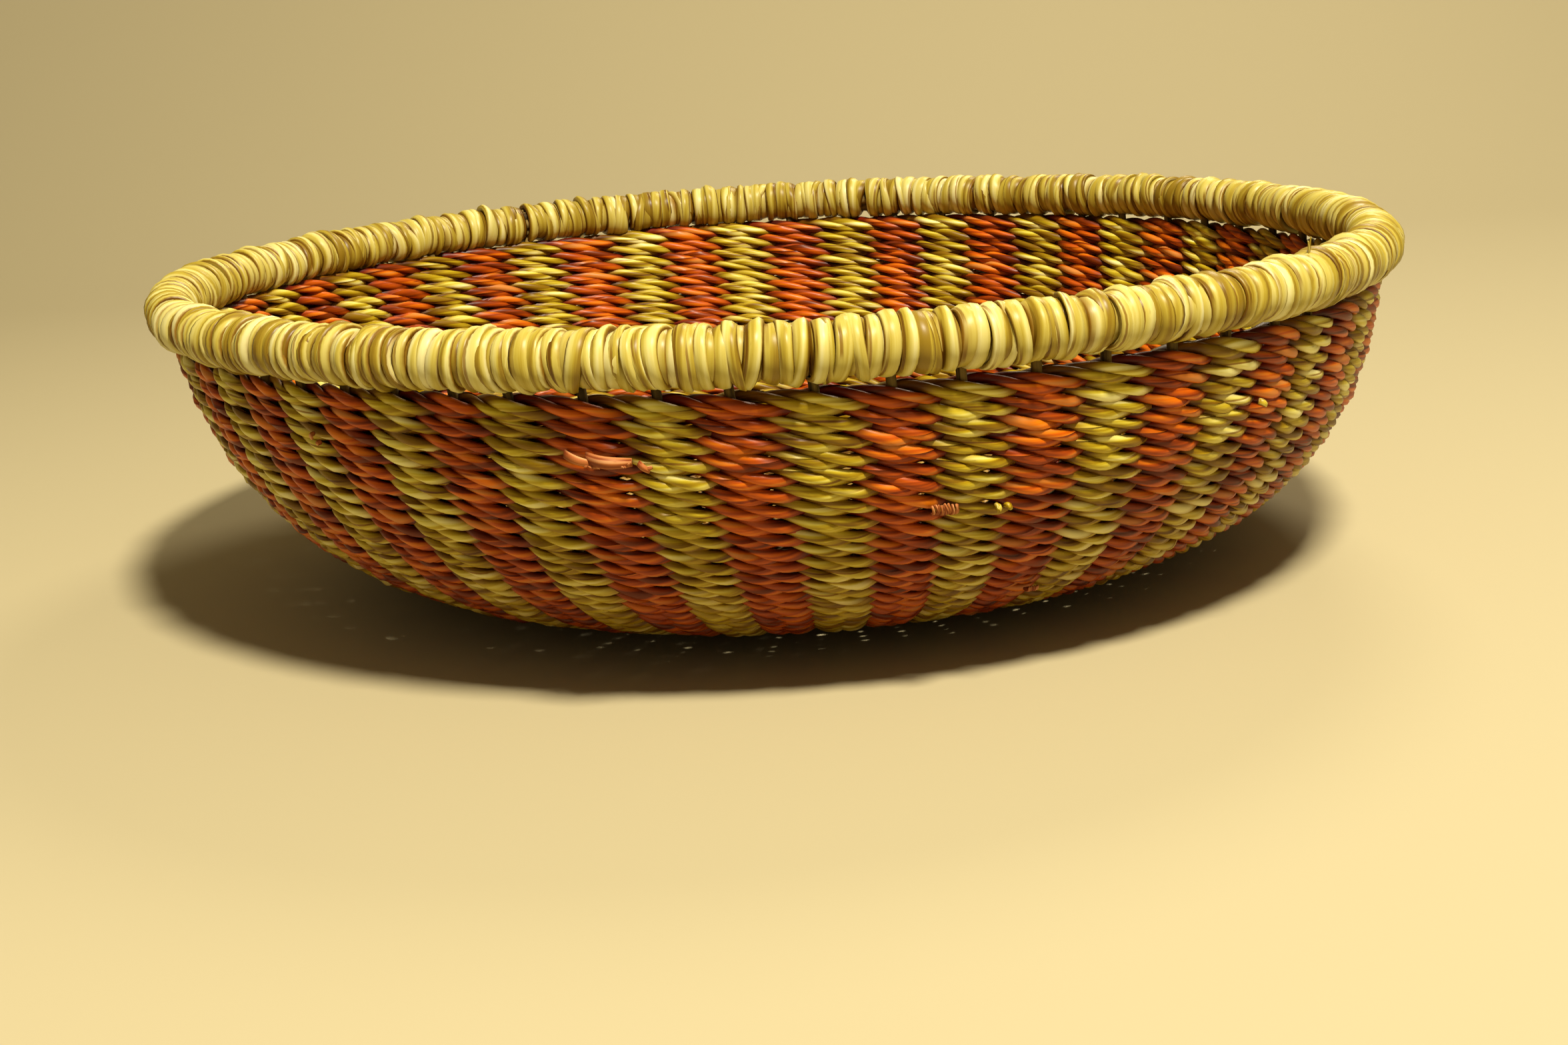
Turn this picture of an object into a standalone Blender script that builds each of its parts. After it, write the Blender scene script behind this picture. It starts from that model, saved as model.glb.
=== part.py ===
"""A round bowl basket, twined from grass straw over stakes and finished with a bound rim.

Each rib is a rod of bundled grass, bent like a hairpin round the middle of the base, so that its
two legs are neighbouring stakes of the wall. The weave encloses the stakes, which run through it
in channels, and they end under a hoop of grass that is bound all round. Everything is drawn as an
even, upright bowl first, and `hand_shape` then gives it the lean and the oval of the hand-made
one. Metres, +Z up, the origin under the middle of the rim.
"""

import math

import bmesh
import bpy

MM = 0.001

# Driving sizes
RIM_HEIGHT = 87.0 * MM  # the hoop's centreline above the surface it stands on
RIM_RADIUS = 172.4 * MM
BOUND_RADIUS = 7.55 * MM  # of the hoop with its binding on
CORE_RADIUS = 5.2 * MM
WALL_RADIUS = 174.3 * MM  # the outside of the weave, at the height of the rim
SIDE_POWER = 5.0  # the bowl's outline is a superellipse of these two powers
DEPTH_POWER = 1.8
FOOT_RADIUS = 80.0 * MM  # the base is flat as far as this
WALL = 7.4 * MM
GAP = 0.3 * MM

# Ribs
RIB_PAIRS = 29
STAKES = 2 * RIB_PAIRS
FIRST_STAKE = math.radians(266.6)
RIB_RADIUS = 1.3 * MM
BEND_RADIUS = 34.0 * MM  # where a rib's bend stands from the middle of the base

# The base: a knot in the middle, and a ring of weave with a groove inside for the ribs' bends
KNOT_RADIUS = 28.0 * MM
BASE_RADIUS = 78.0 * MM
GROOVE_RADIUS = 38.0 * MM

# The hand-made shape
OVAL = 5.75 * MM  # how far the rim leaves a circle
LEAN = 8.4 * MM  # how far the base stands to +X of the rim's middle
CROWDING = 0.07  # the stakes stand this share closer at the front, -Y

MIDDLE = WALL / 2
DEPTH = RIM_HEIGHT / (1 - (FOOT_RADIUS / WALL_RADIUS) ** SIDE_POWER) ** (1 / DEPTH_POWER)
WEAVE_TOP = RIM_HEIGHT - BOUND_RADIUS - 2.0 * MM
WALL_SPANS = 6  # straight spans from the base's edge to the top
BANDS = {"lower_weave": (0, 2), "middle_weave": (2, 4), "upper_weave": (4, 6)}  # first, last

STRAW = (0.62, 0.50, 0.16, 1)
RUSSET = (0.58, 0.17, 0.03, 1)
PALE_CORE = (0.46, 0.36, 0.14, 1)
RIB_BROWN = (0.33, 0.24, 0.10, 1)

HOOP_SIDES = 8
BINDING_CORNERS = 9  # of each of the binding's two faces, seen in section
BINDING_OPENS = 267  # degrees round the hoop, from straight outward
BINDING_CLOSES = 215
OVERSHOOT = 2.0 * MM  # how far a channel's cutter runs past the weave at either end
TOP_SPLAY = 0.1  # how far a stake leans outward above the weave, for each unit that it climbs


def material(name, colour, roughness):
    """A plain dry-grass finish."""
    made = bpy.data.materials.new(name)
    made.use_nodes = True
    shader = made.node_tree.nodes["Principled BSDF"]
    shader.inputs["Base Color"].default_value = colour
    shader.inputs["Roughness"].default_value = roughness
    shader.inputs["Metallic"].default_value = 0.0
    return made


def outline_height(radius):
    """The height of the bowl's outside at this distance from its axis."""
    share = min(radius / WALL_RADIUS, 1.0)
    return max(0.0, RIM_HEIGHT - DEPTH * (1 - share**SIDE_POWER) ** (1 / DEPTH_POWER))


def outline(count, start_radius, top):
    """count + 1 evenly spaced (radius, height, normal) along the outside, up to the height top."""
    fine_steps = 4000
    walk = [(0.0, start_radius, outline_height(start_radius))]
    for step in range(1, fine_steps + 1):
        angle = math.pi / 2 * step / fine_steps
        radius = WALL_RADIUS * math.sin(angle) ** (2 / SIDE_POWER)
        height = outline_height(radius)
        if radius <= start_radius:
            continue
        if height > top:
            break
        length, last_radius, last_height = walk[-1]
        length += math.hypot(radius - last_radius, height - last_height)
        walk.append((length, radius, height))
    total = walk[-1][0]
    points = []
    for index in range(count + 1):
        wanted = total * index / count
        near = min(range(len(walk)), key=lambda i: abs(walk[i][0] - wanted))
        before, after = walk[max(near - 1, 0)], walk[min(near + 1, len(walk) - 1)]
        along_radius, along_height = after[1] - before[1], after[2] - before[2]
        size = math.hypot(along_radius, along_height)
        normal = (along_height / size, -along_radius / size)
        points.append((walk[near][1], walk[near][2], normal))
    return points


WALL_LINE = outline(WALL_SPANS, BASE_RADIUS + GAP, WEAVE_TOP)


def inset(point, depth):
    """(radius, height) of a point this deep under the bowl's outside."""
    radius, height, (normal_radius, normal_height) = point
    return radius - depth * normal_radius, height - depth * normal_height


def hand_shape(point):
    """Where a point of the even bowl lies in the hand-made one."""
    up = point.z / RIM_HEIGHT
    radius = math.hypot(point.x, point.y)
    turn = math.atan2(point.y, point.x)
    turn -= CROWDING * math.cos(turn)
    radius *= 1 - up * OVAL / WALL_RADIUS * math.sin(2 * turn)
    point.x = radius * math.cos(turn) + LEAN * (1 - up)
    point.y = radius * math.sin(turn)


def stake_angle(index):
    return FIRST_STAKE + 2 * math.pi * index / STAKES


def new_object(name, data, collection):
    made = bpy.data.objects.new(name, data)
    collection.objects.link(made)
    return made


def settled(source, name, finish, collection):
    """source as evaluated, welded and given the hand-made shape, in an object of its own."""
    bpy.context.view_layer.update()
    graph = bpy.context.evaluated_depsgraph_get()
    mesh = bpy.data.meshes.new_from_object(source.evaluated_get(graph))
    shape = bmesh.new()
    shape.from_mesh(mesh)
    bmesh.ops.remove_doubles(shape, verts=shape.verts, dist=1e-6)
    for vertex in shape.verts:
        hand_shape(vertex.co)
    bmesh.ops.recalc_face_normals(shape, faces=shape.faces)
    shape.to_mesh(mesh)
    shape.free()
    mesh.name = name
    mesh.materials.clear()
    mesh.materials.append(finish)
    bpy.data.objects.remove(source)
    made = new_object(name, mesh, collection)
    mesh.shade_smooth()
    mesh.set_sharp_from_angle(angle=math.radians(35))
    return made


def turned_ring(name, profile, collection):
    """A closed (radius, height) profile turned once round the axis, with a corner at each stake."""
    mesh = bpy.data.meshes.new(name)
    start_x, start_y = math.cos(FIRST_STAKE), math.sin(FIRST_STAKE)
    corners = [(radius * start_x, radius * start_y, height) for radius, height in profile]
    edges = [(i, (i + 1) % len(corners)) for i in range(len(corners))]
    mesh.from_pydata(corners, edges, [])
    ring = new_object(name, mesh, collection)
    screw = ring.modifiers.new("turn", "SCREW")
    screw.steps = screw.render_steps = STAKES
    screw.use_merge_vertices = True
    screw.merge_threshold = 1e-5
    return ring


def shifted(point, distance):
    """The same point of the outline, moved this far along it."""
    radius, height, (normal_radius, normal_height) = point
    return radius - distance * normal_height, height + distance * normal_radius, point[2]


def channelled(blank, name, finish, collection, cutters):
    """blank with a channel for every stake, given the hand-made shape."""
    cut = blank.modifiers.new("channels", "BOOLEAN")
    cut.operation = "DIFFERENCE"
    cut.operand_type = "COLLECTION"
    cut.collection = cutters
    return settled(blank, name, finish, collection)


def weave_band(name, first, last, finish, collection, cutters):
    """The weave between two points of the wall, with half a gap left at either end."""
    line = WALL_LINE[first : last + 1]
    line[0] = shifted(line[0], GAP / 2)
    line[-1] = shifted(line[-1], -GAP / 2)
    profile = [inset(point, 0) for point in line]
    profile += [inset(point, WALL) for point in reversed(line)]
    blank = turned_ring(name + "_blank", profile, collection)
    return channelled(blank, name, finish, collection, cutters)


def base_weave(finish, collection, cutters):
    """The flat ring of weave round the knot, grooved from inside for the ribs' bends."""
    groove = RIB_RADIUS + 2 * GAP
    profile = [
        (BASE_RADIUS, 0.0),
        (BASE_RADIUS, WALL),
        (KNOT_RADIUS + GAP, WALL),
        (KNOT_RADIUS + GAP, MIDDLE + groove),
        (GROOVE_RADIUS, MIDDLE + groove),
        (GROOVE_RADIUS, MIDDLE - groove),
        (KNOT_RADIUS + GAP, MIDDLE - groove),
        (KNOT_RADIUS + GAP, 0.0),
    ]
    blank = turned_ring("base_blank", profile, collection)
    return channelled(blank, "base_weave", finish, collection, cutters)


def base_knot(finish, collection):
    """The round middle of the base, where the weave starts."""
    shape = bmesh.new()
    bmesh.ops.create_cone(
        shape, cap_ends=True, segments=STAKES, radius1=KNOT_RADIUS, radius2=KNOT_RADIUS, depth=WALL
    )
    bmesh.ops.translate(shape, verts=shape.verts, vec=(0, 0, MIDDLE))
    mesh = bpy.data.meshes.new("base_knot")
    shape.to_mesh(mesh)
    shape.free()
    return settled(new_object("knot_blank", mesh, collection), "base_knot", finish, collection)


def arc(radius, first, last, count):
    """(radius, height) points round the hoop's centreline, between two angles."""
    turns = [first + (last - first) * i / (count - 1) for i in range(count)]
    return [
        (RIM_RADIUS + radius * math.cos(turn), RIM_HEIGHT + radius * math.sin(turn))
        for turn in turns
    ]


def rim_core(finish, collection):
    """The hoop: a bundle of grass, laid round on the ends of the stakes."""
    profile = arc(CORE_RADIUS, 0, 2 * math.pi * (1 - 1 / HOOP_SIDES), HOOP_SIDES)
    blank = turned_ring("core_blank", profile, collection)
    return settled(blank, "rim_core", finish, collection)


def rim_binding(finish, collection):
    """The binding round the hoop, open underneath where the stakes come in."""
    first, last = math.radians(BINDING_OPENS), math.radians(BINDING_CLOSES + 360)
    outer = arc(BOUND_RADIUS, first, last, BINDING_CORNERS)
    inner = arc(CORE_RADIUS + 2 * GAP, first, last, BINDING_CORNERS)
    blank = turned_ring("binding_blank", outer + inner[::-1], collection)
    return settled(blank, "rim_binding", finish, collection)


def straw_tube(name, points, radius, collection):
    """A four-sided tube of grass through these points, as a closed mesh."""
    curve = bpy.data.curves.new(name, "CURVE")
    curve.dimensions = "3D"
    curve.twist_mode = "Z_UP"
    curve.bevel_depth = radius
    curve.bevel_resolution = 0
    curve.use_fill_caps = True
    spline = curve.splines.new("POLY")
    spline.points.add(len(points) - 1)
    for place, point in zip(spline.points, points):
        place.co = (*point, 1)
    drawn = new_object(name, curve, collection)
    bpy.context.view_layer.update()
    graph = bpy.context.evaluated_depsgraph_get()
    mesh = bpy.data.meshes.new_from_object(drawn.evaluated_get(graph))
    shape = bmesh.new()
    shape.from_mesh(mesh)
    bmesh.ops.remove_doubles(shape, verts=shape.verts, dist=1e-6)
    bmesh.ops.recalc_face_normals(shape, faces=shape.faces)
    shape.to_mesh(mesh)
    shape.free()
    bpy.data.objects.remove(drawn)
    return new_object(name, mesh, collection)


def polar(radius, turn, height):
    return radius * math.cos(turn), radius * math.sin(turn), height


def stake_line(index, inner_end, top):
    """From inner_end on the base out and up the wall to the height top, along one stake."""
    turn = stake_angle(index)
    points = [polar(inner_end, turn, MIDDLE)]
    for point in WALL_LINE:
        radius, height = inset(point, MIDDLE)
        points.append(polar(radius, turn, height))
    radius, height = inset(WALL_LINE[-1], MIDDLE)
    points.append(polar(radius + TOP_SPLAY * (top - height), turn, top))
    return points


def rib(index, finish, collection):
    """One rod of bundled grass, bent like a hairpin: two stakes of the wall."""
    name = f"rib_{index + 1:02d}"
    top = RIM_HEIGHT - CORE_RADIUS - 2 * GAP
    down = stake_line(2 * index, BEND_RADIUS, top)[::-1]
    up = stake_line(2 * index + 1, BEND_RADIUS, top)
    middle = stake_angle(2 * index + 0.5)
    half_space = BEND_RADIUS * math.sin(math.pi / STAKES)
    bend = []
    for turn in (-60, -30, 0, 30, 60):
        inward = half_space * math.cos(math.radians(turn))
        across = half_space * math.sin(math.radians(turn))
        radius = BEND_RADIUS - inward
        bend.append(polar(radius, middle + across / radius, MIDDLE))
    blank = straw_tube(name + "_blank", down + bend + up, RIB_RADIUS, collection)
    return settled(blank, name, finish, collection)


def stake_cutters(collection):
    """A tube round each stake, wider by the gap, from the groove to above the weave."""
    for index in range(STAKES):
        points = stake_line(index, GROOVE_RADIUS - OVERSHOOT, WEAVE_TOP + OVERSHOOT)
        cutter = straw_tube(f"channel_{index + 1:02d}", points, RIB_RADIUS + GAP, collection)
        cutter.hide_render = True
        cutter.display_type = "WIRE"


def build():
    for old in list(bpy.data.objects):
        bpy.data.objects.remove(old)
    basket = bpy.data.collections.new("bowl_basket")
    cutters = bpy.data.collections.new("channel_cutters")
    for group in (basket, cutters):
        bpy.context.scene.collection.children.link(group)

    straw = material("straw", STRAW, 0.55)
    russet = material("russet_and_straw", RUSSET, 0.55)
    pale = material("grass_core", PALE_CORE, 0.75)
    brown = material("grass_rib", RIB_BROWN, 0.75)

    stake_cutters(cutters)
    base_knot(straw, basket)
    base_weave(straw, basket, cutters)
    for name, (first, last) in BANDS.items():
        weave_band(name, first, last, russet, basket, cutters)
    rim_core(pale, basket)
    rim_binding(straw, basket)
    for index in range(RIB_PAIRS):
        rib(index, brown, basket)


build()
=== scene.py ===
import math

import bmesh
import bpy
import numpy as np
from mathutils import Matrix, Vector


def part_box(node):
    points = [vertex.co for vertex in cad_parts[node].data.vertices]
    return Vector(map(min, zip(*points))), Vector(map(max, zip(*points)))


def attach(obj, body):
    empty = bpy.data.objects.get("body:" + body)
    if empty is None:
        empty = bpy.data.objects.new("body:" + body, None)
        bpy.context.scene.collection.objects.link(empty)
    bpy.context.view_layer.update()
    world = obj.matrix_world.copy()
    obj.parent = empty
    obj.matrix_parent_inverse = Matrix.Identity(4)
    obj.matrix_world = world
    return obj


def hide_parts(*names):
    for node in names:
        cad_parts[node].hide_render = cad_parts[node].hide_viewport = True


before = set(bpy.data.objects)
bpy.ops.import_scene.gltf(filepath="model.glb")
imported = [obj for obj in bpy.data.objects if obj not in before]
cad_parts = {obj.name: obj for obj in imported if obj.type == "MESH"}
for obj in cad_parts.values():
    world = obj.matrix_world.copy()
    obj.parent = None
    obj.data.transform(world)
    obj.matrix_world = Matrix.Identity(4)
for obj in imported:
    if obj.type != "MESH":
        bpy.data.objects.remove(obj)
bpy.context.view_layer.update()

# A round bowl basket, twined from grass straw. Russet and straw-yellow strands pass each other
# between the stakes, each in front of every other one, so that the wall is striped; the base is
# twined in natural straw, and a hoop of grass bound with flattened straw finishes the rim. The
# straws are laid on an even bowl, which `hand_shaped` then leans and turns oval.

MM = 0.001
TINY = 1e-6  # metres, less than any detail

# The even bowl, as in the frame
CORE_LOW, CORE_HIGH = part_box("rim_core")
RIM_HEIGHT = (CORE_LOW.z + CORE_HIGH.z) / 2  # of the hoop's centreline
CORE_RADIUS = (CORE_HIGH.z - CORE_LOW.z) / 2
BOUND_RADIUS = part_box("rim_binding")[1].z - RIM_HEIGHT  # of the hoop with its binding on
RIM_RADIUS = 172.4 * MM
WALL_RADIUS = 174.3 * MM  # the outside of the weave, at the height of the rim
SIDE_POWER = 5.0  # the bowl's outline is a superellipse of these two powers
DEPTH_POWER = 1.8
FOOT_RADIUS = 80.0 * MM  # the base is flat as far as this
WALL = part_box("base_weave")[1].z  # the thickness of the weave
MIDDLE = WALL / 2
DEPTH = RIM_HEIGHT / (1 - (FOOT_RADIUS / WALL_RADIUS) ** SIDE_POWER) ** (1 / DEPTH_POWER)

# Stakes
STAKES = 58
FIRST_STAKE = math.radians(266.6)
RIB_RADIUS = 1.3 * MM
BEND_RADIUS = 34.0 * MM  # where a rib's bend stands from the middle of the base

# The hand-made shape
OVAL = 5.75 * MM  # how far the rim leaves a circle
LEAN = 8.4 * MM  # how far the base stands to +X of the rim's middle
CROWDING = 0.07  # the stakes stand this share closer at the front, -Y
GAP_WIDEST = math.radians(295)  # where the gap between the weave and the rim is widest
GAP = 2.9 * MM  # there, between the edge of the top row and the binding
GAP_CLOSES = 2.9 * MM  # by how much, on the far side
GAP_POWER = 0.6  # below 1, so that it closes soon to either side
WEAVE_TOP = RIM_HEIGHT - BOUND_RADIUS - GAP

# The weave
ROW_PITCH = 4.45 * MM
STRAW = 2.9 * MM  # across one straw
BASE_PITCH = 4.1 * MM
BASE_STRAW = 2.5 * MM
WALL_PRESS, BASE_PRESS = 1.0, 0.8  # how flat the rows are pressed, from 1, not at all
STRIPES_END = 98.0 * MM  # the radius at which the natural straw of the base takes over
PAIRED_END = 72.0 * MM  # inside this radius the strands pass the stakes two at a time
KNOT_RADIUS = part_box("base_knot")[1].y
STEPS = 11  # spans of a straw from stake to stake
SIDES = 8  # of a straw
PIECE_FACES = 96_000  # four-sided, so twice as many triangles

# A strand's path, in straws: how far outside the stakes it passes, how far it swings up and down
# between them, and how far its plies stand from its middle
PASSING, SWING, PLY = 0.26, 0.44, 0.42

# How much the hand varies from stake to stake
LIFTS = 0.20 * MM  # a row's height
BULGES = 0.18 * MM  # how far a row stands out
WEIGHTS = 0.09  # the thickness of a straw, as a share

# The rim
CORE_STEMS = 7
CORE_STEM_RADIUS = 2.0 * MM
CORE_TWISTS = 5  # of the stems, once round the rim
BINDING_THICK = 2.3 * MM
BINDING_STEPS = 24  # spans of the binding in one turn
BINDING_TURNS, BINDING_WIDTH = 318, 4.1 * MM
UNDER_TURNS, UNDER_WIDTH = 290, 4.8 * MM

rng = np.random.default_rng(11)
STRAY = rng.normal(0, 0.05, STAKES)  # how far each stake stands from its even place, in steps
JOIN = 29.5  # the step at which a row's straws are joined, between two stakes at the back


# ---------------------------------------------------------------- the even bowl, and the hand's


def outline():
    """The bowl's outside from the middle of the base: length, radius, height and outward normal."""
    fine, even, softened = 6001, 1200, 31  # points worked out, points kept, points to a normal
    turn = np.linspace(0, math.pi / 2, fine)
    radius = WALL_RADIUS * np.sin(turn) ** (2 / SIDE_POWER)
    drop = DEPTH * (1 - (radius / WALL_RADIUS) ** SIDE_POWER) ** (1 / DEPTH_POWER)
    height = np.maximum(0.0, RIM_HEIGHT - drop)
    walked = np.concatenate([[0], np.cumsum(np.hypot(np.diff(radius), np.diff(height)))])
    length = np.linspace(0, walked[-1], even)
    radius, height = np.interp(length, walked, radius), np.interp(length, walked, height)
    slope = np.arctan2(np.gradient(height), np.gradient(radius))
    padded = np.pad(slope, softened // 2, mode="edge")
    slope = np.convolve(padded, np.ones(softened) / softened, mode="valid")
    return length, radius, height, np.sin(slope), -np.cos(slope)


LENGTH, RADIUS, HEIGHT, NORMAL_RADIUS, NORMAL_HEIGHT = outline()


def length_at_radius(radius):
    return float(np.interp(radius, RADIUS, LENGTH))


def length_at_height(height):
    raised = HEIGHT > TINY
    return float(np.interp(height, HEIGHT[raised], LENGTH[raised]))


def hand_shaped(radius, turn, height):
    """Points of the even bowl, given the lean and the oval of the hand-made one."""
    up = height / RIM_HEIGHT
    turn = turn - CROWDING * np.cos(turn)
    radius = radius * (1 - up * OVAL / WALL_RADIUS * np.sin(2 * turn))
    return np.stack([radius * np.cos(turn) + LEAN * (1 - up), radius * np.sin(turn), height], axis=-1)


def packed_up(turn, length):
    """The length up the outline where a row of the even weave has been pushed to by hand."""
    share = np.interp(length, LENGTH, HEIGHT) / RIM_HEIGHT
    closed = ((1 - np.cos(turn - GAP_WIDEST)) / 2) ** GAP_POWER
    return length + GAP_CLOSES * share * closed


def on_wall(turn, length, out):
    """Points at this length up the outline, out from the middle of the wall's thickness."""
    out = out - MIDDLE
    radius = np.interp(length, LENGTH, RADIUS) + out * np.interp(length, LENGTH, NORMAL_RADIUS)
    height = np.interp(length, LENGTH, HEIGHT) + out * np.interp(length, LENGTH, NORMAL_HEIGHT)
    return hand_shaped(radius, turn, height)


def eased(table, place, *rows):
    """Values of a table's rows, read between its entries with soft steps, round and round."""
    low = np.floor(place).astype(int)
    share = (1 - np.cos(math.pi * (place - low))) / 2
    count = table.shape[-1]
    return table[(*rows, low % count)] * (1 - share) + table[(*rows, (low + 1) % count)] * share


# ---------------------------------------------------------------- straws


def add_piece(name, mesh, finish, slot, *nodes):
    """Makes a mesh a piece of the basket, in place of these nodes of the frame."""
    piece = bpy.data.objects.new(name, mesh)
    bpy.context.scene.collection.objects.link(piece)
    mesh.materials.clear()
    mesh.materials.append(finish)
    mesh.shade_smooth()
    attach(piece, "root")
    if nodes:
        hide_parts(*nodes)


def rolled(name, lanes, steps, sides, shape_strip, closed):
    """Flat strips, one to a lane, rolled into straws by shape_strip(along, around, lane).

    For each corner of the strips, shape_strip returns its place, how open it lies from 0 in the
    depth of the weave to 1, from which the finishes paint shade, and how far along the straw's
    markings it is. The attribute "open" keeps the second, and the UV map "straw" the third, with
    the way round and the lane.
    """
    flat = bmesh.new()
    for lane in range(lanes):
        strip = Matrix.Translation((0.5, 0.5, lane))
        bmesh.ops.create_grid(flat, x_segments=steps, y_segments=sides, size=0.5, matrix=strip)
    mesh = bpy.data.meshes.new(name)
    flat.to_mesh(mesh)
    flat.free()
    corners = np.empty(len(mesh.vertices) * 3)
    mesh.vertices.foreach_get("co", corners)
    along, around, lane = corners.reshape(-1, 3).T
    along, around = np.round(along * steps) / steps, np.round(around * sides) / sides
    lane = np.rint(lane).astype(int)
    places, openness, marking = shape_strip(along, around, lane)
    mesh.vertices.foreach_set("co", places.astype(np.float32).ravel())
    loops = np.empty(len(mesh.loops), dtype=int)
    mesh.loops.foreach_get("vertex_index", loops)
    straw_map = mesh.uv_layers.new(name="straw")
    straw_map.uv.foreach_set("vector", np.stack([marking, around + 2 * lane], axis=-1)[loops].ravel())
    attribute = mesh.attributes.new("open", "FLOAT", "POINT")
    attribute.data.foreach_set("value", openness.astype(np.float32))
    return welded(mesh, closed)


def welded(mesh, closed):
    """The strips' long edges joined, any open ends filled, and every face turned outward."""
    shape = bmesh.new()
    shape.from_mesh(mesh)
    border = [vertex for vertex in shape.verts if vertex.is_boundary]
    bmesh.ops.remove_doubles(shape, verts=border, dist=TINY)
    if not closed:
        ends = [edge for edge in shape.edges if edge.is_boundary]
        bmesh.ops.holes_fill(shape, edges=ends, sides=0)
    bmesh.ops.recalc_face_normals(shape, faces=shape.faces)
    shape.to_mesh(mesh)
    shape.free()
    return mesh


def squared(wave, firmness=0.75):
    """The same wave with flatter crests and steeper crossings."""
    return np.tanh(firmness * wave) / math.tanh(firmness)


def strand_rows(name, lengths, phase, straw, turns, press, finish, slot, nodes):
    """One of the two strands of these rows: two plies to a row, passing outside at every other stake.

    lengths are the rows' places up the outline. turns is 1 where the strand passes single stakes,
    and 2 where it passes pairs, whose odd number lets it close only on its second turn.
    """
    rows = len(lengths)
    lengths = np.asarray(lengths)
    reach = RIB_RADIUS + PASSING * straw
    swing, ply_radius = SWING * straw, PLY * straw
    rolled_step, flatness = 0.16, 0.92  # a straw's step at its rolled edge, and its depth to its height
    lift = rng.normal(0, LIFTS, (rows, STAKES))
    bulge = rng.normal(0, BULGES, (rows, STAKES))
    weight = rng.normal(1, WEIGHTS, (rows, 2, STAKES))
    start = rng.uniform(0, 2 * math.pi, (rows, 2))

    def shape_strip(along, around, lane):
        row, ply = lane // 2, lane % 2
        stake = along * STAKES + JOIN
        tau = stake - phase
        out = (reach + eased(bulge, stake, row)) * squared(np.cos(math.pi * tau))
        up = eased(lift, stake, row) - swing * np.sin(math.pi * tau)
        spin = math.pi * tau + math.pi * ply
        up += ply_radius * np.cos(spin)
        out += ply_radius * np.sin(spin)
        face = 2 * math.pi * around - math.pi * stake + start[row, ply]
        rolled_edge = 1 + rolled_step * (around - 0.5)
        size = straw / 2 * eased(weight, stake, row, ply) * rolled_edge
        rise, stand = size * np.cos(face), size * np.sin(face) * flatness
        # how far the point stands out of the weave; the finish paints shade where this is small
        openness = np.abs(out + stand) / (reach + ply_radius + straw / 2)
        turn = FIRST_STAKE + 2 * math.pi * turns * (stake + eased(STRAY, turns * stake)) / STAKES
        places = on_wall(turn, packed_up(turn, lengths[row] + up + rise), press * (out + stand))
        return places, openness, stake + STAKES * row

    mesh = rolled(name, 2 * rows, STAKES * STEPS, SIDES, shape_strip, closed=True)
    add_piece(name, mesh, finish, slot, *nodes)


def build_cut_ends(name, ends, finish):
    """The cut and frayed ends of spliced straws, which stand out of the weave.

    An end is its root (degrees round, height up the wall and depth out of the wall's middle, in
    millimetres), its run from there (along, up and out) and its thickness.
    """
    turns = np.radians([end[0][0] for end in ends])
    lengths = np.array([length_at_height(end[0][1] * MM) for end in ends])
    depths = np.array([end[0][2] for end in ends]) * MM
    runs = np.array([end[1] for end in ends]) * MM
    thick = np.array([end[2] for end in ends]) * MM
    reach = np.linalg.norm(runs, axis=1)
    aslant = (0.3, 0.2, 1.0)  # a direction that no run has
    across = np.cross(runs, aslant)
    across /= np.linalg.norm(across, axis=1, keepdims=True)
    outward = np.cross(across, runs / reach[:, None])
    steps, taper, flatness, bow_share = 8, 0.35, 0.7, 0.22

    def shape_strip(along, around, lane):
        face = 2 * math.pi * around
        ring = thick[lane] / 2 * (1 - taper * along**3)
        bow = bow_share * reach[lane] * np.sin(math.pi * along)
        spot = (runs[lane] * along[:, None] + across[lane] * (ring * np.cos(face))[:, None]
                + outward[lane] * (flatness * ring * np.sin(face) + bow)[:, None])
        turn = turns[lane] + spot[:, 0] / WALL_RADIUS
        places = on_wall(turn, packed_up(turn, lengths[lane]) + spot[:, 1], depths[lane] + spot[:, 2])
        # painted shade, darker toward the root where the end leaves the weave
        return places, 0.45 + 0.5 * along, along + lane

    mesh = rolled(name, len(ends), steps, SIDES, shape_strip, closed=False)
    add_piece(name, mesh, finish, "weave_russet_and_straw")


# Spliced ends, as build_cut_ends takes them
SPLINTER = [((252.2, 65.4, 4.6), (7.0, -2.2, 0.6), 2.2), ((254.0, 64.4, 4.4), (11.5, -1.0, 0.2), 3.0)]
CHIPS = [((258.3, 63.2, 4.6), (2.6, -1.6, 1.0), 1.7), ((258.7, 62.0, 4.8), (2.2, 0.6, 0.6), 1.2),
         ((225.2, 66.0, 4.2), (1.3, -0.4, 1.6), 1.5), ((225.9, 64.2, 4.4), (1.2, 0.5, 1.6), 1.3)]
STUBS = [((287.2, 46.3, 4.0), (-0.4, 0.3, 1.8), 2.2), ((288.0, 46.4, 4.0), (0.5, 0.2, 1.8), 2.0),
         ((313.5, 60.5, 4.0), (1.6, -0.8, 1.4), 1.8)]


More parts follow.
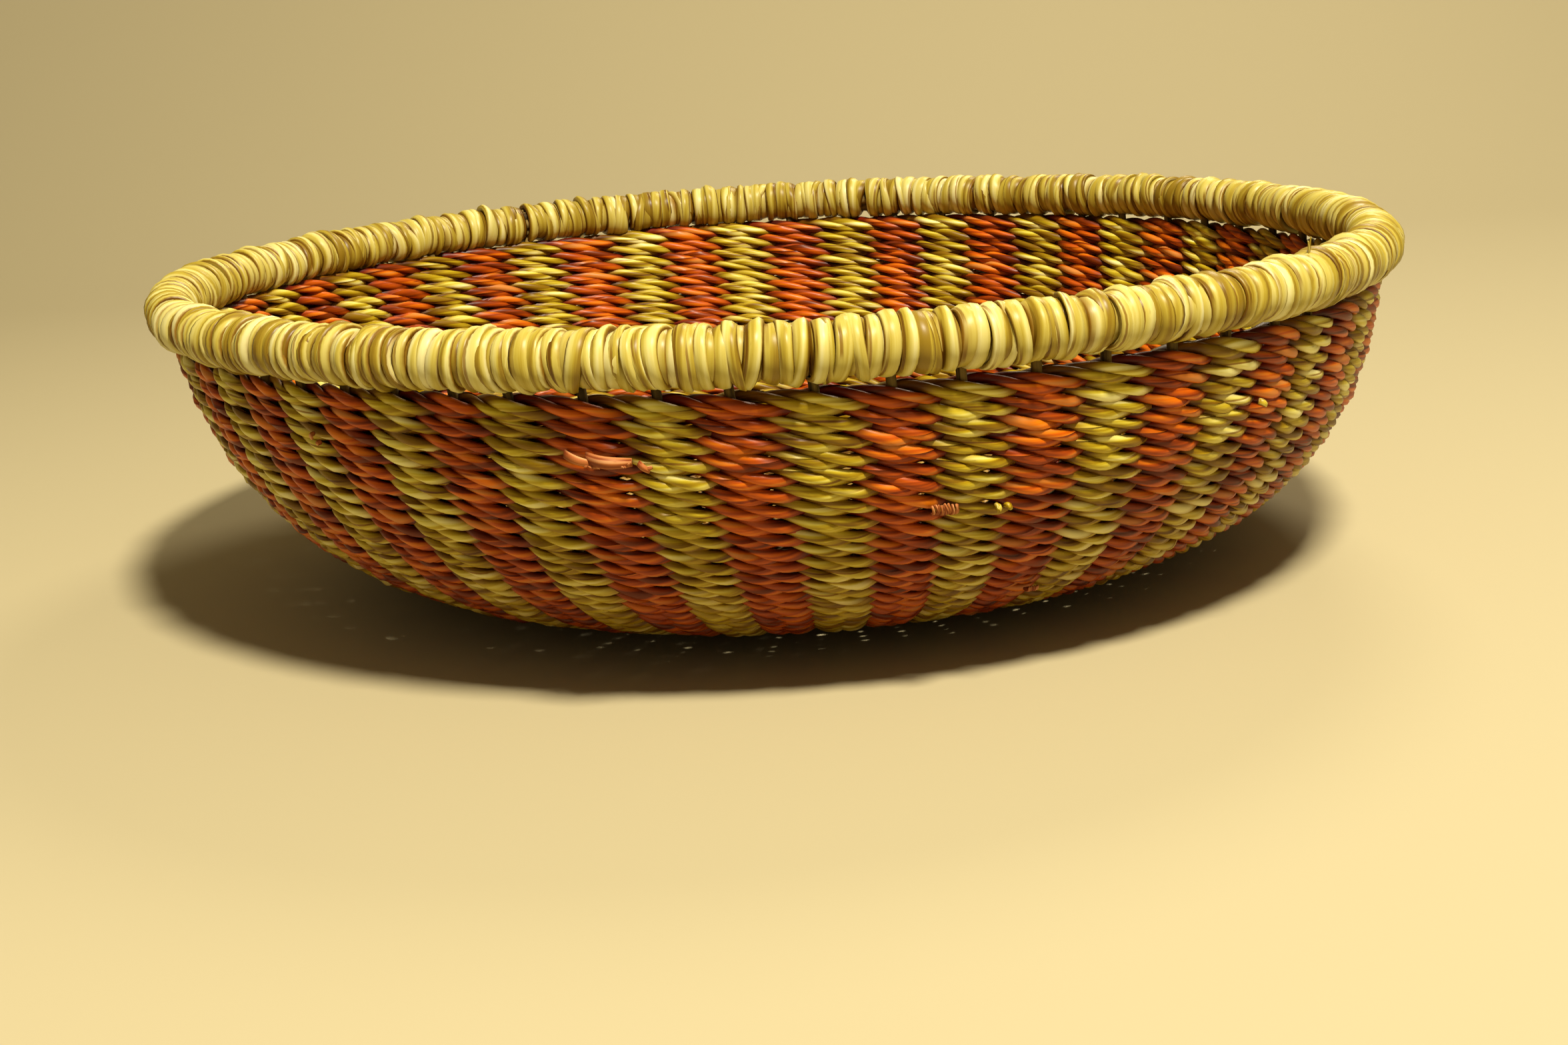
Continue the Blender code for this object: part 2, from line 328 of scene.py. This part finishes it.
def build_splices(yellow, frayed):
    """Where straws were spliced: two frayed tufts, a splinter with a torn edge, chips and stubs."""
    tuft = [((282.5 + 0.20 * step, 46.2 + rng.uniform(-0.3, 0.3), 4.2),
             (rng.uniform(-0.8, 0.8), rng.uniform(2.8, 3.8), 1.2), 1.0) for step in range(-5, 6)]
    low_tuft = [((292.9 + 0.22 * step, 19.6, 4.4), (rng.uniform(-0.6, 0.6), 2.8, 1.0), 1.1)
                for step in range(-2, 3)]
    torn = [((253.8 + 0.34 * step, 63.3 + rng.uniform(-0.3, 0.3), 6.0),
             (rng.uniform(0.5, 2.0), rng.uniform(-0.5, 0.9), 0.5), 0.6) for step in range(12)]
    build_cut_ends("splice_ends_frayed", tuft + low_tuft + SPLINTER + torn + CHIPS, frayed)
    build_cut_ends("splice_ends_yellow", STUBS, yellow)


def evenly(top, bottom, pitch):
    """The middles of the rows that fill this stretch of the outline, near the given pitch."""
    count = round((top - bottom) / pitch)
    return [top - (row + 0.5) * (top - bottom) / count for row in range(count)]


def in_pieces(lengths):
    """The rows, shared out evenly among as few pieces as their faces allow."""
    most = PIECE_FACES // (2 * STAKES * STEPS * SIDES)
    count = math.ceil(len(lengths) / most)
    edges = [round(len(lengths) * part / count) for part in range(count + 1)]
    return [lengths[first:last] for first, last in zip(edges, edges[1:])]


def build_wall(russet, yellow):
    """The striped rows, from the edge of the base to just under the rim."""
    nodes = ("upper_weave", "middle_weave", "lower_weave")
    lengths = evenly(length_at_height(WEAVE_TOP), length_at_radius(STRIPES_END), ROW_PITCH)
    for part, rows in enumerate(in_pieces(lengths)):
        stands_for = nodes[part : part + 1]
        for colour, phase, finish in (("russet", 0, russet), ("yellow", 1, yellow)):
            strand_rows(f"{colour}_strand_{part + 1}", rows, phase, STRAW, 1, WALL_PRESS, finish,
                        "weave_russet_and_straw", stands_for)


def build_base(natural):
    """Rows of natural straw: over single stakes, then over pairs, and a coiled knot."""
    outer = evenly(length_at_radius(STRIPES_END), PAIRED_END, BASE_PITCH)
    inner = evenly(PAIRED_END, KNOT_RADIUS, BASE_PITCH)
    for phase in (0, 1):
        strand_rows(f"base_strand_{phase + 1}", outer, phase, BASE_STRAW, 1, BASE_PRESS, natural,
                    "base_straw", ["base_weave"])
    for part, rows in enumerate(in_pieces(inner)):
        strand_rows(f"base_inner_strand_{part + 1}", rows, 0, BASE_STRAW, 2, BASE_PRESS, natural,
                    "base_straw", ["base_weave"])
    build_knot(natural)


def build_knot(natural):
    """The start of the base: a flat coil of two-ply cord, its outer end under the first row."""
    first, last, coils = KNOT_RADIUS + 2.6 * MM, 1.2 * MM, 7  # radii of the cord's path
    ply, thick, lay = 1.45 * MM, 3.2 * MM, 11.0 * MM  # a ply's place, its thickness, and one twist
    steps = 420

    def shape_strip(along, around, lane):
        radius = first + (last - first) * along
        walked = 2 * math.pi * coils * (first * along + (last - first) * along**2 / 2)
        spin = 2 * math.pi * walked / lay + math.pi * lane
        face = 2 * math.pi * around - spin
        length = radius + ply * np.cos(spin) + thick / 2 * np.cos(face)
        out = ply * np.sin(spin) + thick / 2 * np.sin(face)
        turn = FIRST_STAKE + 2 * math.pi * coils * along
        # the second value gives painted shade where the cord's surface lies near the middle of the wall
        return on_wall(turn, np.abs(length), out), np.abs(out) / (ply + thick / 2), walked / lay

    mesh = rolled("base_knot_cord", 2, steps, SIDES, shape_strip, closed=False)
    add_piece("base_knot_cord", mesh, natural, "base_straw", "base_knot")


def build_ribs(grass):
    """The hairpins of bundled grass whose legs are the stakes."""
    top = length_at_height(RIM_HEIGHT - CORE_RADIUS)
    half_step = math.pi / STAKES
    half_space = BEND_RADIUS * math.sin(half_step)
    leg_share = 0.45  # of a rib's steps, for each of its legs
    steps, kinks, stems, stem_bulge, markings = 64, 12, 3, 0.08, 20
    for index in range(STAKES // 2):
        middle = FIRST_STAKE + (4 * index + 1) * half_step
        wobble = rng.normal(0, 0.15 * MM, kinks)

        def shape_strip(along, around, lane):
            bend = np.clip((along - 0.5) / (0.5 - leg_share), -1, 1) * math.pi / 2
            leg = np.clip((np.abs(along - 0.5) - (0.5 - leg_share)) / leg_share, 0, 1)
            length = BEND_RADIUS - half_space * np.cos(bend) + leg * (top - BEND_RADIUS)
            face = 2 * math.pi * around
            size = RIB_RADIUS * (1 + stem_bulge * np.cos(stems * face))
            aside = size * np.cos(face) + eased(wobble, along * kinks)
            radius = np.interp(length, LENGTH, RADIUS)
            stray = np.where(along < 0.5, STRAY[2 * index], STRAY[2 * index + 1])
            turn = middle + np.sin(bend) * (half_step + aside / radius) + stray * leg * 2 * half_step
            out = size * np.sin(face)
            places = on_wall(turn, length - np.cos(bend) * aside, out)
            return places, np.ones_like(along), along * markings

        name = f"rib_grass_{index + 1:02d}"
        mesh = rolled(name, 1, steps, SIDES, shape_strip, closed=False)
        add_piece(name, mesh, grass, "rib_grass", f"rib_{index + 1:02d}")


# ---------------------------------------------------------------- the rim


def round_rim(turn, angle, distance):
    """Points this far from the hoop's centreline, at this angle up from straight outward."""
    radius = RIM_RADIUS + distance * np.cos(angle)
    return hand_shaped(radius, turn, RIM_HEIGHT + distance * np.sin(angle))


def build_core(grass):
    """The hoop: stems laid round in a slow twist."""
    steps, sides, markings = 300, 7, 60

    def shape_strip(along, around, lane):
        spin = 2 * math.pi * (lane / CORE_STEMS + CORE_TWISTS * along)
        face = 2 * math.pi * around
        off_middle = CORE_RADIUS - CORE_STEM_RADIUS
        across = off_middle * np.cos(spin) + CORE_STEM_RADIUS * np.cos(face)
        rise = off_middle * np.sin(spin) + CORE_STEM_RADIUS * np.sin(face)
        places = hand_shaped(RIM_RADIUS + across, FIRST_STAKE + 2 * math.pi * along, RIM_HEIGHT + rise)
        return places, np.ones_like(along), along * markings

    mesh = rolled("rim_core_stems", CORE_STEMS, steps, sides, shape_strip, closed=True)
    add_piece("rim_core_stems", mesh, grass, "core_grass", "rim_core")


def build_binding(straw):
    """Flattened straw wound round the hoop in two layers, the turns of the top one crossing."""
    top = BINDING_THICK / 2 + 0.3 * MM
    under = top + 0.8 * MM
    wound_straw("rim_binding_under", UNDER_TURNS, UNDER_WIDTH, under, 0.6, straw)
    wound_straw("rim_binding_straw", BINDING_TURNS, BINDING_WIDTH, top, 1.0, straw)


def wound_straw(name, turns, width, depth, looseness, finish):
    """Straw wound round and round the hoop, its middle this far below the bound rim's surface.

    looseness is how much the turns stray, as a share of the strays below.
    """
    bends, folds = 2, 3  # in each turn
    sway = rng.normal(0, 1.25 * MM * looseness, turns * bends)
    lift = rng.normal(0, 0.40 * MM * looseness, turns * folds)
    breadth = rng.normal(1.0, 0.17, turns * folds)
    tilt = rng.normal(0, 0.36 * looseness, turns * folds)
    fat_edge = 0.4  # how much thicker the straw is at one edge than in its middle
    dark_below, edge_shade, edge_power = 3.2 * MM, 0.5, 5  # how depth and edges paint shade on the straw

    def shape_strip(along, around, lane):
        wound = along * turns
        face = 2 * math.pi * around
        half = width / 2 * eased(breadth, wound * folds)
        flat = half * np.cos(face)
        fat = BINDING_THICK / 2 * np.sin(face) * (1 + fat_edge * np.cos(face))
        lean = eased(tilt, wound * folds)
        aside = flat * np.cos(lean) - fat * np.sin(lean) + eased(sway, wound * bends - 0.25)
        raised = flat * np.sin(lean) + fat * np.cos(lean) + eased(lift, wound * folds)
        turn = FIRST_STAKE + math.pi + 2 * math.pi * along + aside / RIM_RADIUS
        # painted shade, darker with depth below the rim's surface and at the straw's edges
        openness = 1.0 + (raised - depth) / dark_below - edge_shade * np.abs(flat / half) ** edge_power
        places = round_rim(turn, 2 * math.pi * wound, BOUND_RADIUS - depth + raised)
        return places, openness, wound * 2

    mesh = rolled(name, 1, turns * BINDING_STEPS, SIDES, shape_strip, closed=True)
    add_piece(name, mesh, finish, "rim_straw", "rim_binding")


def build_wisp(straw):
    """The split end of a straw, sticking up from the binding."""
    asides, heights = np.array([-0.9, 0.5]) * MM, np.array([3.4, 4.2]) * MM  # of its two prongs
    root, near_top, buried = math.radians(320.5), math.radians(84), 1.0 * MM  # where it starts
    radius, taper, steps, sides = 0.32 * MM, 0.6, 8, 6

    def shape_strip(along, around, lane):
        face = 2 * math.pi * around
        ring = radius * (1 - taper * along)
        turn = root + (asides[lane] * along**2 + ring * np.cos(face)) / RIM_RADIUS
        angle = near_top + ring * np.sin(face) / BOUND_RADIUS
        places = round_rim(turn, angle, BOUND_RADIUS - buried + heights[lane] * along)
        # painted shade, darker toward the root in the binding
        return places, 0.5 + 0.5 * along, along

    mesh = rolled("rim_wisp", len(asides), steps, sides, shape_strip, closed=False)
    add_piece("rim_wisp", mesh, straw, "rim_straw")


# ---------------------------------------------------------------- finishes


class Field:
    """A number at each point of a surface. Python's operators on it add Math nodes."""

    def __init__(self, finish, socket):
        self.finish, self.socket = finish, socket

    def math(self, operation, *others):
        return self.finish.node("ShaderNodeMath", {"operation": operation},
                                dict(enumerate((self, *others))))

    def __add__(self, other):
        return self.math("ADD", other)

    def __sub__(self, other):
        return self.math("SUBTRACT", other)

    def __mul__(self, other):
        return self.math("MULTIPLY", other)

    def __rsub__(self, other):
        return self.finish.node("ShaderNodeMath", {"operation": "SUBTRACT"}, {0: other, 1: self})

    __radd__, __rmul__ = __add__, __mul__

    def between(self, low, high):
        """0 below low, 1 above high, and a soft step from one to the other."""
        values = {"Value": self, "From Min": low, "From Max": high}
        return self.finish.node("ShaderNodeMapRange", {"interpolation_type": "SMOOTHSTEP"}, values)


class Finish:
    """A material under way, whose nodes all come from its method node."""

    def __init__(self, name):
        self.material = bpy.data.materials.new(name)
        self.material.use_nodes = True
        self.tree = self.material.node_tree
        self.shader = self.tree.nodes["Principled BSDF"]

    def node(self, kind, settings=None, values=None, output=0):
        """The output of a new node, with its settings set before its sockets."""
        made = self.tree.nodes.new(kind)
        for key, value in (settings or {}).items():
            if key == "stops":
                self.set_stops(made.color_ramp, value)
            else:
                setattr(made, key, value)
        for key, value in (values or {}).items():
            self.join(made.inputs[key], value)
        return Field(self, made.outputs[output])

    def set_stops(self, ramp, stops):
        """Gives a colour ramp these (place, colour) stops."""
        while len(ramp.elements) < len(stops):
            ramp.elements.new(1.0)
        for element, (place, colour) in zip(ramp.elements, stops):
            element.position = place
            element.color = (*colour, 1)

    def join(self, socket, value):
        """Links a Field to the socket, or sets the socket to a plain value."""
        if isinstance(value, Field):
            self.tree.links.new(value.socket, socket)
        else:
            socket.default_value = value

    def set(self, **sockets):
        """Joins the shader's own sockets, with _ for the spaces in their names."""
        for name, value in sockets.items():
            self.join(self.shader.inputs[name.replace("_", " ")], value)

    def split(self, vector):
        """The three numbers of a vector."""
        first = self.node("ShaderNodeSeparateXYZ", None, {0: vector})
        return [Field(self, socket) for socket in first.socket.node.outputs]

    def vector(self, x, y, z=0.0):
        return self.node("ShaderNodeCombineXYZ", None, {0: x, 1: y, 2: z})

    def noise(self, vector, scale, detail=2.0, roughness=0.5):
        values = {"Vector": vector, "Scale": scale, "Detail": detail, "Roughness": roughness}
        return self.node("ShaderNodeTexNoise", None, values)

    def mix(self, share, first, second, blend="MIX"):
        settings = {"data_type": "RGBA", "blend_type": blend}
        return self.node("ShaderNodeMix", settings, {0: share, 6: first, 7: second}, 2)

    def ramp(self, value, stops):
        return self.node("ShaderNodeValToRGB", {"stops": stops}, {0: value})

    def bump(self, height, strength, distance):
        values = {"Height": height, "Strength": strength, "Distance": distance}
        return self.node("ShaderNodeBump", None, values)


SPECULAR_LEVEL = 0.26
FOOT_UNSHADED_SHARE = 0.42  # what is left of a straw's own colour at the foot of the wall, the rest given to painted shade


def straw_finish(name, tones, shade_and_bruise_tint, roughness=0.28, drift=0.0):
    """Dry grass: tones from straw to straw, with streaks and a split seam along each of them.

    The shade tint darkens the colour into painted shade, and into the bruises. roughness is its least,
    and the streaks add to it.
    drift is how fast the tone wanders along a straw.
    """
    finish = Finish(name)
    along, around, _ = finish.split(finish.node("ShaderNodeUVMap", {"uv_map": "straw"}))
    east, north, height = finish.split(finish.node("ShaderNodeTexCoord", output="Object"))

    # Tones over the whole bowl, patches of a few straws, and streaks along each straw
    lane = around * 3.7 + along * drift
    broad, close = 6.0, 48.0  # per metre
    tone = finish.noise(finish.vector(east * broad, north * broad, lane), 1.0, 2.0)
    patch = finish.noise(finish.vector(east * close, north * close, lane * 0.5), 1.0, 3.0)
    streak = finish.noise(finish.vector(along * 1.3, around * 30.0), 1.0, 4.0, 0.6)
    mixed = (tone - 0.5) * 1.8 + (patch - 0.5) * 0.5 + (streak - 0.5) * 0.2 + 0.49
    colour = finish.ramp(mixed, tones)

    # The seam where the straw is rolled shut, and a crease beside it on some stretches: grooves in the
    # bump, with painted shade in them
    place = around.math("FRACT")
    seamless = 1 - (place - 0.5).math("ABSOLUTE").between(0.40, 0.49)
    creased = finish.noise(finish.vector(along * 0.7, around.math("FLOOR") * 3.1), 1.0, 2.0)
    smooth = (place - 0.30 - patch * 0.12).math("ABSOLUTE").between(0.014, 0.040)
    smooth = smooth.math("MAXIMUM", 1 - creased.between(0.47, 0.53))

    # Painted shade in the seams and creases, far into the weave and low on the wall; darker where the
    # straw is bruised
    openness = finish.node("ShaderNodeAttribute", {"attribute_name": "open"}, None, "Fac")
    # painted shade, growing toward the foot of the wall
    clear = height.between(0.0, 0.75 * RIM_HEIGHT) * (1 - FOOT_UNSHADED_SHARE) + FOOT_UNSHADED_SHARE
    shade = openness.between(0.25, 0.80) * (seamless * 0.35 + 0.65) * (smooth * 0.85 + 0.15) * clear
    # the colour under the tint: painted shade, and the colour of the bruises
    shade_and_bruise_colour = finish.mix(1.0, colour, shade_and_bruise_tint, "MULTIPLY")
    bruise = finish.noise(finish.vector(along * 1.7, around * 5.0), 1.0, 4.0, 0.65).between(0.64, 0.76)
    colour = finish.mix(bruise * 0.5, finish.mix(shade, shade_and_bruise_colour, colour), shade_and_bruise_colour)

    relief = finish.bump(streak * 0.3 + seamless * 0.6 + smooth * 0.8, 0.35, 0.25 * MM)
    finish.set(Base_Color=colour, Roughness=streak * 0.25 + roughness, Normal=relief)
    finish.set(Specular_IOR_Level=SPECULAR_LEVEL)
    return finish.material


# Each finish's tones, from dark to pale, as (place, colour), and the tint of its painted shade, which
# its bruises share
RUSSET_TONES = [(0.26, (0.16, 0.022, 0.000)), (0.40, (0.35, 0.050, 0.000)),
                (0.52, (0.56, 0.100, 0.000)), (0.64, (0.70, 0.18, 0.002)), (0.80, (0.58, 0.21, 0.04))]
YELLOW_TONES = [(0.26, (0.21, 0.11, 0.001)), (0.40, (0.38, 0.255, 0.003)),
                (0.52, (0.54, 0.415, 0.02)), (0.64, (0.69, 0.60, 0.11)), (0.80, (0.82, 0.76, 0.32))]
NATURAL_TONES = [(0.28, (0.14, 0.07, 0.008)), (0.42, (0.33, 0.20, 0.03)),
                 (0.52, (0.48, 0.32, 0.07)), (0.62, (0.60, 0.43, 0.12)), (0.78, (0.70, 0.55, 0.22))]
RIM_TONES = [(0.26, (0.24, 0.15, 0.010)), (0.40, (0.39, 0.29, 0.03)),
             (0.52, (0.49, 0.40, 0.08)), (0.64, (0.57, 0.49, 0.14)), (0.80, (0.66, 0.60, 0.27))]
FRAYED_TONES = [(0.3, (0.26, 0.06, 0.008)), (0.5, (0.44, 0.14, 0.03)), (0.7, (0.62, 0.30, 0.12))]
GRASS_TONES = [(0.3, (0.05, 0.03, 0.008)), (0.7, (0.20, 0.13, 0.03))]
RUSSET_SHADE_AND_BRUISE, YELLOW_SHADE_AND_BRUISE = (0.26, 0.08, 0.02, 1), (0.36, 0.18, 0.03, 1)
NATURAL_SHADE_AND_BRUISE, RIM_SHADE_AND_BRUISE = (0.36, 0.22, 0.06, 1), (0.38, 0.22, 0.05, 1)
FRAYED_SHADE_AND_BRUISE, GRASS_SHADE_AND_BRUISE = (0.40, 0.15, 0.05, 1), (0.4, 0.3, 0.2, 1)


# ---------------------------------------------------------------- studio and camera

CAMERA_LENS = 47.21
CAMERA_DISTANCE = 0.612
CAMERA_DIP = math.radians(14.2)
CAMERA_ROLL = math.radians(3.91)
CAMERA_RIGHT = 6.78 * MM  # of the rim's middle
CAMERA_DOWN = 78.87 * MM  # below the rim's middle, square to the view

FLOOR_HALF_WIDTH = 3.5
FLOOR_FRONT, FLOOR_BACK = -3.0, 0.7
CURVE_RADIUS = 0.6  # where the floor turns up into the wall
WALL_RISE = 2.0  # of the studio's wall, above the curve
FLOOR_COLOUR = (0.42, 0.36, 0.21, 1)
SKY_COLOUR, SKY_STRENGTH = (1.0, 0.82, 0.52, 1), 0.22

# name, place, size, power and colour; both lamps look at LAMPS_AIM
LAMPS = [("key", (0.26, -0.74, 1.34), 0.22, 42, (1.0, 0.92, 0.74)),
         ("back", (0.5, 1.1, 1.3), 0.6, 12, (1.0, 0.90, 0.70))]
LAMPS_AIM = (0, 0, 0.05)


def place_camera():
    """In front of the bowl and above it, a little rolled to the side."""
    forward = Vector((0, math.cos(CAMERA_DIP), -math.sin(CAMERA_DIP)))
    level, rise = Vector((1, 0, 0)), Vector((0, math.sin(CAMERA_DIP), math.cos(CAMERA_DIP)))
    right = math.cos(CAMERA_ROLL) * level - math.sin(CAMERA_ROLL) * rise
    up = math.sin(CAMERA_ROLL) * level + math.cos(CAMERA_ROLL) * rise
    middle = Vector((0, 0, RIM_HEIGHT))
    data = bpy.data.cameras.new("camera")
    data.lens = CAMERA_LENS
    data.sensor_width = 36.0
    data.clip_start = 0.01
    camera = bpy.data.objects.new("camera", data)
    axes = Matrix((right, up, -forward)).transposed().to_4x4()
    spot = middle + CAMERA_RIGHT * right - CAMERA_DOWN * up - CAMERA_DISTANCE * forward
    camera.matrix_world = Matrix.Translation(spot) @ axes
    bpy.context.scene.collection.objects.link(camera)
    bpy.context.scene.camera = camera


def area_light(name, place, size, power, colour):
    """A round lamp at this place, turned to LAMPS_AIM."""
    data = bpy.data.lights.new(name, "AREA")
    data.shape = "DISK"
    data.size, data.energy, data.color = size, power, colour
    lamp = bpy.data.objects.new(name, data)
    lamp.location = place
    lamp.rotation_euler = (Vector(LAMPS_AIM) - Vector(place)).to_track_quat("-Z", "Y").to_euler()
    bpy.context.scene.collection.objects.link(lamp)


def build_studio():
    """A pale warm sweep: a floor that curves up into a wall behind, and soft lamps."""
    sweep = bmesh.new()
    sides = (-FLOOR_HALF_WIDTH, FLOOR_HALF_WIDTH)
    line = [sweep.edges.new([sweep.verts.new((side, FLOOR_FRONT, 0)) for side in sides])]
    back, rise = Vector((0, FLOOR_BACK - FLOOR_FRONT, 0)), Vector((0, 0, WALL_RISE))
    line = next_edge(bmesh.ops.extrude_edge_only(sweep, edges=line)["geom"], sweep, back)
    bent = bmesh.ops.spin(sweep, geom=line + list(line[0].verts), cent=(0, FLOOR_BACK, CURVE_RADIUS),
                          axis=(1, 0, 0), angle=math.pi / 2, steps=16)
    line = [item for item in bent["geom_last"] if isinstance(item, bmesh.types.BMEdge)]
    next_edge(bmesh.ops.extrude_edge_only(sweep, edges=line)["geom"], sweep, rise)
    bmesh.ops.recalc_face_normals(sweep, faces=sweep.faces)
    mesh = bpy.data.meshes.new("floor")
    sweep.to_mesh(mesh)
    sweep.free()
    mesh.shade_smooth()
    floor = bpy.data.objects.new("floor", mesh)
    bpy.context.scene.collection.objects.link(floor)
    finish = Finish("floor")
    finish.set(Base_Color=FLOOR_COLOUR, Roughness=0.85)
    mesh.materials.append(finish.material)
    world = bpy.data.worlds.new("studio")
    world.use_nodes = True
    sky = world.node_tree.nodes["Background"]
    sky.inputs["Color"].default_value = SKY_COLOUR
    sky.inputs["Strength"].default_value = SKY_STRENGTH
    bpy.context.scene.world = world
    for lamp in LAMPS:
        area_light(*lamp)


def next_edge(made, shape, shift):
    """Moves freshly extruded corners by shift, and returns the far edge."""
    corners = [item for item in made if isinstance(item, bmesh.types.BMVert)]
    bmesh.ops.translate(shape, verts=corners, vec=shift)
    return [item for item in made if isinstance(item, bmesh.types.BMEdge)
            and all(vertex in corners for vertex in item.verts)]


def build():
    """Every piece of the basket, then the camera and the studio."""
    russet = straw_finish("russet_straw", RUSSET_TONES, RUSSET_SHADE_AND_BRUISE)
    yellow = straw_finish("yellow_straw", YELLOW_TONES, YELLOW_SHADE_AND_BRUISE)
    natural = straw_finish("natural_straw", NATURAL_TONES, NATURAL_SHADE_AND_BRUISE)
    rim = straw_finish("rim_straw", RIM_TONES, RIM_SHADE_AND_BRUISE, roughness=0.26, drift=0.45)
    frayed = straw_finish("frayed_straw", FRAYED_TONES, FRAYED_SHADE_AND_BRUISE, roughness=0.5)
    grass = straw_finish("dull_grass", GRASS_TONES, GRASS_SHADE_AND_BRUISE, roughness=0.6)
    build_wall(russet, yellow)
    build_base(natural)
    build_ribs(grass)
    build_core(grass)
    build_binding(rim)
    build_wisp(rim)
    build_splices(yellow, frayed)
    place_camera()
    build_studio()
    bpy.context.scene.view_settings.view_transform = "Standard"


build()
